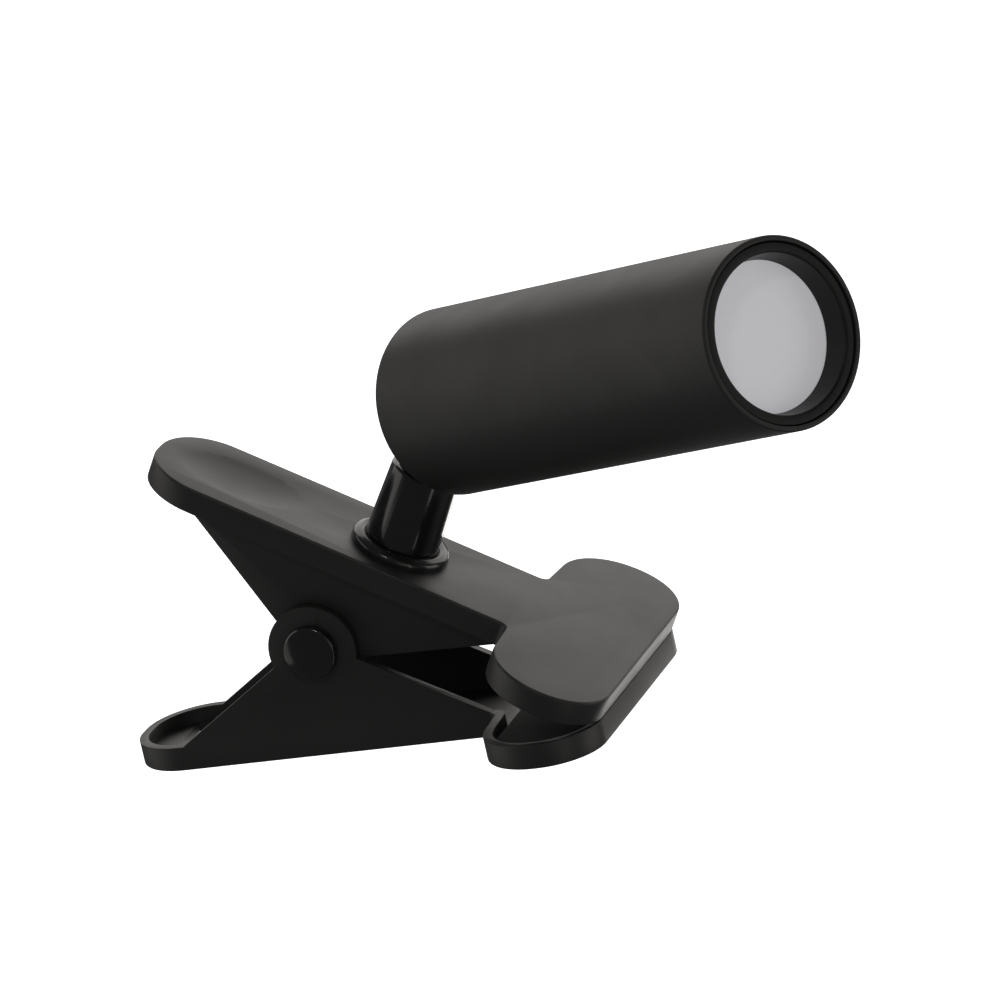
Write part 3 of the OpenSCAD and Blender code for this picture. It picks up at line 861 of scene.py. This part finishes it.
@dataclass
class Stem:
    """The swivelling stem, the collar round its foot, and what holds it.

    Args:
        places: The lamp's axes.
        foot: Radius at the foot.
        top: Radius at the shoulder.
        shoulder: Height of the shoulder.
        pin_height: Height of the tilt pin.
        tongue: Thickness of the tongue.
        knuckle: Radius of the round end of the tongue.
        spigot: Radius of the part that turns in the jaw.
        spigot_depth: How far that part reaches below the plate's face.
        collar_round: Round along the collar's shoulder.
        collar_wall: Height of the collar's wall, below its sloping top.
        collar_trim: How far the collar stays inside its CAD piece.
        collar_lip: Width and round of the flat round the stem.
        collar_drop: How far the collar's bore starts below that flat.
        collar_play: Gap between stem and collar.
        shoulder_round: Round along the stem's shoulder.
        foot_gap: Gap between the stem's foot and the plate.
        foot_wall: Height at which the stem starts to taper.
        spigot_edge: Round along the spigot's end.
        tongue_edge: Round along the tongue's edges.
    """

    places: Places
    foot: float = 8.2 * MM
    top: float = 7.5 * MM
    shoulder: float = 19.8 * MM
    pin_height: float = 28 * MM
    tongue: float = 7 * MM
    knuckle: float = 5.4 * MM
    spigot: float = 5 * MM
    spigot_depth: float = 2.8 * MM
    collar_round: float = 1.35 * MM
    collar_wall: float = 1.7 * MM
    collar_trim: float = 0.6 * MM
    collar_lip: float = 0.9 * MM
    collar_drop: float = 0.3 * MM
    collar_play: float = 0.05 * MM
    shoulder_round: float = 1.0 * MM
    foot_gap: float = 0.1 * MM
    foot_wall: float = 2.5 * MM
    spigot_edge: float = 0.4 * MM
    tongue_edge: float = 0.35 * MM

    def build(self) -> None:
        """Builds the collar, the stem and the hidden fasteners."""
        place = self.places.stem
        along = basis(place.col[2].xyz, place.col[0].xyz, place.col[1].xyz, place.translation)
        self._collar(along)
        self._stem(along)
        fittings = {
            "stem_screw": Finishes.DARK_STEEL,
            "stem_washer": Finishes.STEEL,
            "wave_washer": Finishes.STEEL,
        }
        softened_copies(Body.STEM, fittings)

    def _collar(self, along: Matrix) -> None:
        """The low rounded ring round the stem's foot."""
        low, high = local_box("stem_collar", along)
        radius = (high.y - low.y) / 2 - self.collar_trim
        bore = self.foot + self.collar_play
        corners = [
            Arc((bore, low.x)),
            Arc((radius, low.x)),
            Arc((radius, low.x + self.collar_wall), self.collar_round),
            Arc((bore + self.collar_lip, high.x), self.collar_lip),
            Arc((bore, high.x - self.collar_drop), self.collar_drop / 2),
        ]
        Shape("collar_ring").turned(rounded_outline(corners, 10), along, 160).piece(
            Body.UPPER_JAW, Finishes.SATIN_RING, ["stem_collar"]
        )

    def _stem(self, along: Matrix) -> None:
        """The tapered post with its rounded shoulder, and the tongue that carries the head."""
        corners = [
            Arc((0.0, -self.spigot_depth)),
            Arc((self.spigot, -self.spigot_depth), self.spigot_edge),
            Arc((self.spigot, self.foot_gap)),
            Arc((self.foot, self.foot_gap), self.foot_gap),
            Arc((self.foot, self.foot_wall)),
            Arc((self.top, self.shoulder), self.shoulder_round),
            Arc((0.0, self.shoulder)),
        ]
        shape = Shape("stem_post").turned(rounded_outline(corners, 10), along, 160)
        place = self.places.stem
        steps = 32
        outline = [
            (-self.knuckle, self.shoulder - self.shoulder_round),
            (self.knuckle, self.shoulder - self.shoulder_round),
        ]
        for k in range(steps + 1):
            a = math.pi * k / steps
            outline.append(
                (self.knuckle * math.cos(a), self.pin_height + self.knuckle * math.sin(a))
            )
        shape.prism(outline, place, -self.tongue / 2, self.tongue / 2, self.tongue_edge)
        shape.piece(Body.STEM, Finishes.GLOSS, ["stem"])


# ---- head


@dataclass
class Head:
    """The tube with its rear cap, bezel, diffuser, button and fittings.

    Args:
        places: The lamp's axes.
        tube_edge: Round along the tube's ends.
        cap_edge: Round along the rear cap's edges.
        fine_edge: Round along the edges of small fittings.
        mouth: Radius of the bezel's mouth.
        lens: Visible radius of the diffuser.
        lens_depth: Depth of the diffuser below the tube's end.
        inset: How far the bezel sits inside the tube's end.
        lip: Bevel of the bezel's front edge, the round on it, and the round of its mouth.
        fine_round: Round along small steps.
        seat: How far the diffuser's seat is wider than the mouth.
        cone_end: Where the cone ends, outside and above the seat's edge.
        crown: Rise of the diffuser's middle.
        bore_edge: Round along the ends of the tube's bore.
        flange: Width and thickness of the button's flange.
        flange_at: Where that flange starts, from the tube's rear end.
        stalk: Radius of the button's stalk, and the round at its end.
        dimple: Depth of the button's dimple, at its middle and partway out.
        dimple_reach: Where that second depth and the dimple's rim lie, as shares of the radius.
        dimple_rounds: Rounds there and at the button's edge.
        screw_radius: Radius of a cap screw's head.
        screw_reach: Length of a cap screw that is modelled.
        recess: Reach, half width and depth of a screw's cross recess.
        emitter: Width of an LED package.
        emitter_height: Height of that package.
        emitter_rim: Width of the rim round its phosphor.
        emitter_dip: Depth of the phosphor below that rim.
        emitter_ring: Radius of the ring of LEDs.
        emitter_count: LEDs on that ring.

    Attributes:
        radius: The tube's outer radius.
        length: The tube's length.
        bore: The tube's inner radius.
    """

    places: Places
    tube_edge: float = 0.45 * MM
    cap_edge: float = 0.3 * MM
    fine_edge: float = 0.08 * MM
    mouth: float = 16.5 * MM
    lens: float = 15.6 * MM
    lens_depth: float = 6.0 * MM
    inset: float = 0.5 * MM
    lip: tuple[float, float, float] = (0.3 * MM, 0.2 * MM, 0.5 * MM)
    fine_round: float = 0.1 * MM
    seat: float = 0.25 * MM
    cone_end: Point = (0.12 * MM, 0.35 * MM)
    crown: float = 0.35 * MM
    bore_edge: float = 0.2 * MM
    flange: float = 0.8 * MM
    flange_at: float = 3.2 * MM
    stalk: tuple[float, float] = (1.4 * MM, 0.3 * MM)
    dimple: tuple[float, float] = (0.5 * MM, 0.42 * MM)
    dimple_reach: tuple[float, float] = (0.45, 0.72)
    dimple_rounds: tuple[float, float, float] = (1.5 * MM, 0.8 * MM, 0.5 * MM)
    screw_radius: float = 2.0 * MM
    screw_reach: float = 8.0 * MM
    recess: tuple[float, float, float] = (1.25 * MM, 0.28 * MM, 0.7 * MM)
    emitter: float = 3.0 * MM
    emitter_height: float = 0.8 * MM
    emitter_rim: float = 0.35 * MM
    emitter_dip: float = 0.15 * MM
    emitter_ring: float = 7.0 * MM
    emitter_count: int = 6
    radius: float = field(init=False)
    length: float = field(init=False)
    bore: float = field(init=False)

    def build(self) -> None:
        """Builds the head's pieces."""
        frame = self.places.tube
        low, high = local_box("head_tube", frame)
        self.radius = (high.y - low.y) / 2
        self.length = high.x - low.x
        self.bore = inner_radius("head_tube", frame)
        self._tube(frame)
        self._bezel(frame)
        self._diffuser(frame)
        self._button(frame)
        self._screws(frame)
        self._emitters(frame)
        Shape("rear_cap_moulding").copied("rear_cap").softened(self.cap_edge, 3).piece(
            Body.HEAD, Finishes.CAP, ["rear_cap"]
        )
        fittings = {
            "tilt_screw": Finishes.DARK_STEEL,
            "tilt_nut": Finishes.DARK_STEEL,
            "tilt_washers": Finishes.STEEL,
            "usb_socket": Finishes.STEEL,
            "charge_light": Finishes.PIPE,
        }
        softened_copies(Body.HEAD, fittings, self.fine_edge)

    def _tube(self, frame: Matrix) -> None:
        """The round housing, open at both ends."""
        corners = [
            Arc((self.bore, 0.0), self.bore_edge),
            Arc((self.radius, 0.0), self.tube_edge),
            Arc((self.radius, self.length), self.tube_edge),
            Arc((self.bore, self.length), self.bore_edge),
        ]
        outline = with_rings(rounded_outline(corners), 12, 10 * MM)
        Shape("tube_housing").turned(outline, frame, 192).piece(
            Body.HEAD, Finishes.TUBE, ["head_tube"]
        )

    def _bezel(self, frame: Matrix) -> None:
        """The bezel: a rounded lip, and a cone down to the diffuser."""
        low, high = local_box("front_bezel", frame)
        outer = (high.y - low.y) / 2
        front = self.length - self.inset
        floor = self.length - self.lens_depth
        bevel, narrow, broad = self.lip
        out, up = self.cone_end
        seat = self.mouth + self.seat
        corners = [
            Arc((outer, low.x)),
            Arc((outer, front - bevel), self.fine_round),
            Arc((outer - bevel, front), narrow),
            Arc((self.mouth, front), broad),
            Arc((self.lens + out, floor + up), broad),
            Arc((self.lens, floor), self.fine_round),
            Arc((seat, floor)),
            Arc((seat, low.x)),
        ]
        Shape("bezel_ring").turned(rounded_outline(corners), frame, 192).piece(
            Body.HEAD, Finishes.BEZEL, ["front_bezel"]
        )

    def _diffuser(self, frame: Matrix) -> None:
        """The opal disc, very slightly crowned."""
        low, high = local_box("diffuser", frame)
        edge = (high.y - low.y) / 2
        outline = [(0.0, low.x), (edge, low.x)]
        rings = 16
        for k in range(rings + 1):
            r = edge * (1 - k / rings)
            outline.append((r, high.x - self.crown * (r / edge) ** 2))
        Shape("diffuser_disc").turned(outline, frame).piece(
            Body.HEAD, Finishes.OPAL, ["diffuser"]
        )

    def _button(self, frame: Matrix) -> None:
        """The push button: a rounded rim round a shallow dimple, on its flange and stalk."""
        low, high = local_box("power_button", frame)
        middle = Vector((0.0, (low.y + high.y) / 2, (low.z + high.z) / 2))
        outer = (high.y - low.y) / 2
        radius = outer - self.flange
        back = self.flange_at + self.flange
        stalk, stalk_end = self.stalk
        partway, rim = self.dimple_reach
        inner_round, rim_round, edge_round = self.dimple_rounds
        corners = [
            Arc((0.0, low.x + self.dimple[0])),
            Arc((radius * partway, low.x + self.dimple[1]), inner_round),
            Arc((radius * rim, low.x), rim_round),
            Arc((radius, low.x), edge_round),
            Arc((radius, self.flange_at)),
            Arc((outer, self.flange_at), self.fine_round),
            Arc((outer, back), self.fine_round),
            Arc((stalk, back)),
            Arc((stalk, high.x), stalk_end),
            Arc((0.0, high.x)),
        ]
        place = frame @ Matrix.Translation(middle)
        Shape("button_cap").turned(rounded_outline(corners), place, 96).piece(
            Body.BUTTON, Finishes.BUTTON, ["power_button"]
        )

    def _screws(self, frame: Matrix) -> None:
        """Four countersunk screws, one head and shank set out at the corners of a grid."""
        low, high = local_box("cap_screws", frame)
        wide = (high.y - low.y) - 2 * self.screw_radius
        tall = (high.z - low.z) - 2 * self.screw_radius
        grow = GrowTree("cap_screws", {"Across": tall, "Along": wide}, Finishes.DARK_STEEL)
        grid = grow.node(
            "GeometryNodeMeshGrid", Vertices_X=2, Vertices_Y=2,
            Size_X=grow.inputs["Across"], Size_Y=grow.inputs["Along"],
        )
        upright = grow.node(
            "GeometryNodeTransform",
            Geometry=grid.outputs["Mesh"], Rotation=(0.0, math.pi / 2, 0.0),
        )
        place = frame @ Matrix.Translation((low.x, 0.0, 0.0))
        mesh = grow.set_out(upright.outputs["Geometry"], self._one_screw(), place)
        dress(mesh, "cap_screw_set", Body.HEAD, Finishes.DARK_STEEL, ["cap_screws"])

    def _one_screw(self) -> bpy.types.Mesh:
        """One countersunk screw with a cross recess, its head's face at x = 0."""
        work = bmesh.new()
        arm, slot, depth = self.recess
        shank = self.screw_radius * 0.55
        bevel = (0.12 * MM, 0.1 * MM)
        taper, draft = 1.0 * MM, 0.8
        cross = [(slot, slot), (arm, slot), (arm, -slot)]
        recess: list[Point] = []
        for k in range(4):
            turn = Matrix.Rotation(-k * math.pi / 2, 2)
            recess += [tuple(turn @ Vector(p)) for p in cross]
        count = 48
        rings = [
            (self.screw_radius - bevel[0], 0.0),
            (self.screw_radius, bevel[1]),
            (shank, taper),
            (shank, self.screw_reach),
        ]
        circles = []
        for radius, x in rings:
            circle = []
            for k in range(count):
                a = 2 * math.pi * k / count
                circle.append(work.verts.new((x, radius * math.cos(a), radius * math.sin(a))))
            circles.append(circle)
        for inner, outer in zip(circles, circles[1:]):
            for k in range(count):
                j = (k + 1) % count
                work.faces.new((inner[k], inner[j], outer[j], outer[k]))
        work.faces.new(circles[-1])
        top = [work.verts.new((0.0, y, z)) for y, z in recess]
        floor = [work.verts.new((depth, y * draft, z * draft)) for y, z in recess]
        for k in range(len(recess)):
            j = (k + 1) % len(recess)
            work.faces.new((top[k], top[j], floor[j], floor[k]))
        work.faces.new(floor)
        bounds = [
            work.edges.get((loop[k], loop[(k + 1) % len(loop)]))
            for loop in (circles[0], top)
            for k in range(len(loop))
        ]
        bmesh.ops.triangle_fill(work, use_beauty=True, edges=bounds)
        bmesh.ops.recalc_face_normals(work, faces=work.faces)
        return as_mesh(work, "one_screw")

    def _emitters(self, frame: Matrix) -> None:
        """The LEDs: one package set out on a ring and at its middle."""
        low, _ = local_box("led_emitters", frame)
        work = bmesh.new()
        bmesh.ops.create_cube(work, size=self.emitter)
        flatten = self.emitter_height / self.emitter
        bmesh.ops.scale(work, vec=(flatten, 1.0, 1.0), verts=work.verts)
        bmesh.ops.translate(work, vec=(self.emitter_height / 2, 0.0, 0.0), verts=work.verts)
        front = max(work.faces, key=lambda f: f.calc_center_median().x)
        bmesh.ops.inset_individual(work, faces=[front], thickness=self.emitter_rim)
        bmesh.ops.translate(work, vec=(-self.emitter_dip, 0.0, 0.0), verts=front.verts)
        sizes = {"Ring radius": self.emitter_ring, "Count": self.emitter_count}
        grow = GrowTree("emitters", sizes, Finishes.PHOSPHOR)
        ring = grow.node(
            "GeometryNodeMeshCircle",
            Radius=grow.inputs["Ring radius"], Vertices=grow.inputs["Count"],
        )
        upright = grow.node(
            "GeometryNodeTransform",
            Geometry=ring.outputs["Mesh"],
            Rotation=(math.pi / self.emitter_count, math.pi / 2, 0.0),
        )
        middle = grow.node("GeometryNodePoints", Count=1)
        points = grow.tree.nodes.new("GeometryNodeJoinGeometry")
        for source in (upright.outputs["Geometry"], middle.outputs["Points"]):
            grow.tree.links.new(source, points.inputs["Geometry"])
        place = frame @ Matrix.Translation((low.x, 0.0, 0.0))
        host = as_mesh(work, "one_emitter")
        mesh = grow.set_out(points.outputs["Geometry"], host, place)
        dress(mesh, "emitter_set", Body.HEAD, Finishes.PHOSPHOR, ["led_emitters"])


# ---- inner pieces


def softened_copies(body: Body, finishes: dict[str, Finishes], width: float = 0.15 * MM) -> None:
    """Makes softened copies of small CAD nodes that ride on one body.

    Args:
        body: The body that they ride on.
        finishes: The nodes and their finishes.
        width: Round along their edges.
    """
    for node, finish in finishes.items():
        Shape(node + "_soft").copied(node).softened(width, 2).piece(body, finish, [node])


def dress_inner_nodes() -> None:
    """Gives the CAD nodes that stay their finishes; they are hidden inside the head."""
    kept = {
        "tact_switch": Finishes.DARK_STEEL,
        "control_board": Finishes.BOARD,
        "board_parts": Finishes.CHIP,
        "battery_cell": Finishes.CELL,
        "battery_cradle": Finishes.CRADLE,
        "battery_leads": Finishes.LEAD,
        "heat_sink": Finishes.SINK,
        "led_board": Finishes.LED_BOARD,
        "led_screws": Finishes.STEEL,
        "led_leads": Finishes.LEAD,
        "reflector": Finishes.REFLECTOR,
    }
    for node, finish in kept.items():
        data = bpy.data.objects[node].data
        for k in range(len(data.materials)):
            data.materials[k] = finish.value.material()
        LOG.info("%s: keeps its mesh, dressed in %s", node, finish.value.slot)


# ---- stage


@dataclass(frozen=True)
class Softbox:
    """A rectangle of soft light.

    Args:
        name: The light's name.
        at: Its middle.
        size: Its width and height.
        level: How bright its face is, where 1 is white.
        tint: Its colour.
    """

    name: str
    at: tuple[float, float, float]
    size: tuple[float, float]
    level: float
    tint: Colour = (1.0, 0.965, 0.935)

    def build(self) -> None:
        """Adds the light, turned to the origin."""
        data = bpy.data.lights.new(self.name, "AREA")
        data.shape = "RECTANGLE"
        data.size, data.size_y = self.size
        data.energy = self.level * math.pi * self.size[0] * self.size[1]
        data.color = self.tint
        light = linked(self.name, data)
        light.location = self.at
        light.rotation_euler = (-Vector(self.at)).to_track_quat("-Z", "Y").to_euler()
        light.visible_camera = False


@dataclass
class Studio:
    """Floor, light and camera.

    Args:
        eye: Where the camera stands.
        right: The camera's right.
        up: The camera's up.
        lens: Focal length for the sensor.
        sensor: Width of the sensor, in millimetres.
        floor_drop: How far the floor lies below the object.
        reach: How far the floor and the dome over it spread.
        ambient: Level of the light from all round.
        boxes: The soft lights.
    """

    eye: Vector = field(default_factory=lambda: Vector((0.42178, -1.57158, 0.65753)))
    right: Vector = field(default_factory=lambda: Vector((0.95515, 0.29296, 0.04324)))
    up: Vector = field(default_factory=lambda: Vector((-0.14302, 0.32852, 0.93361)))
    lens: float = 296.55
    sensor: float = 36.0
    floor_drop: float = 0.06
    reach: float = 8.0
    ambient: float = 0.11
    boxes: tuple[Softbox, ...] = (
        Softbox("back_high", (-0.2, 1.3, 0.75), (3.0, 1.4), 1.42),
        Softbox("back_low", (0.2, 1.3, -0.6), (0.45, 1.0), 3.1),
        Softbox("left", (-1.3, -0.1, 0.25), (1.2, 0.9), 0.75),
        Softbox("left_low", (-1.2, -0.3, -0.5), (1.2, 0.8), 0.5),
        Softbox("right", (1.3, 0.3, 0.1), (0.8, 0.8), 1.2),
        Softbox("front", (0.9, -1.2, 0.35), (0.9, 0.9), 0.4),
        Softbox("key", (-0.14, -0.82, 0.86), (0.10, 0.07), 45.0),
        Softbox("strip_right", (0.85, -0.85, -0.2), (0.10, 1.4), 1.5),
    )

    def build(self) -> None:
        """Sets the stage up."""
        self._camera()
        self._floor()
        scene = bpy.context.scene
        scene.view_settings.view_transform = "Standard"
        world = bpy.data.worlds.new("studio")
        scene.world = world
        world.use_nodes = True
        shade = world.node_tree.nodes["Background"]
        set_values(shade, {"Color": (1.0, 1.0, 1.0, 1.0), "Strength": self.ambient})
        for box in self.boxes:
            box.build()

    def _camera(self) -> None:
        """The camera."""
        data = bpy.data.cameras.new("camera")
        data.lens = self.lens
        data.sensor_width = self.sensor
        data.clip_start = 0.05
        data.clip_end = 4 * self.reach
        camera = linked("camera", data)
        camera.matrix_world = basis(self.right, self.up, self.right.cross(self.up), self.eye)
        bpy.context.scene.camera = camera

    def _floor(self) -> None:
        """A plain pale floor and a dome over it, which light nothing themselves."""
        low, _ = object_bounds()
        level = low[2] - self.floor_drop
        work = bmesh.new()
        bmesh.ops.create_circle(
            work, cap_ends=True, radius=self.reach, segments=96,
            matrix=Matrix.Translation((0, 0, level)),
        )
        self._staged(work, "floor", "pale_floor")
        work = bmesh.new()
        bmesh.ops.create_uvsphere(work, u_segments=64, v_segments=32, radius=self.reach)
        self._staged(work, "backdrop_dome", "pale_backdrop")

    @staticmethod
    def _staged(work: bmesh.types.BMesh, name: str, paint_name: str) -> None:
        """Ends a stage mesh: evenly pale, seen by the camera and by nothing else."""
        made = linked(name, as_mesh(work, name))
        paint = bpy.data.materials.new(paint_name)
        paint.use_nodes = True
        shader = paint.node_tree.nodes["Principled BSDF"]
        white = (1.0, 1.0, 1.0, 1.0)
        pale = {"Base Color": (0.9, 0.9, 0.9, 1.0), "Roughness": 0.9}
        set_values(shader, pale | {"Emission Color": white, "Emission Strength": 1.0})
        made.data.materials.append(paint)
        made.visible_diffuse = False
        made.visible_glossy = False
        made.visible_transmission = False
        made.visible_shadow = False
        made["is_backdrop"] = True


def main() -> None:
    """Builds the lamp round its frame."""
    logging.basicConfig(level=logging.INFO, format="%(name)s: %(message)s")
    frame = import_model()
    Studio().build()
    places = Places(frame["joints"])
    Clip(places).build()
    Stem(places).build()
    Head(places).build()
    dress_inner_nodes()


if __name__ == "__main__":
    main()
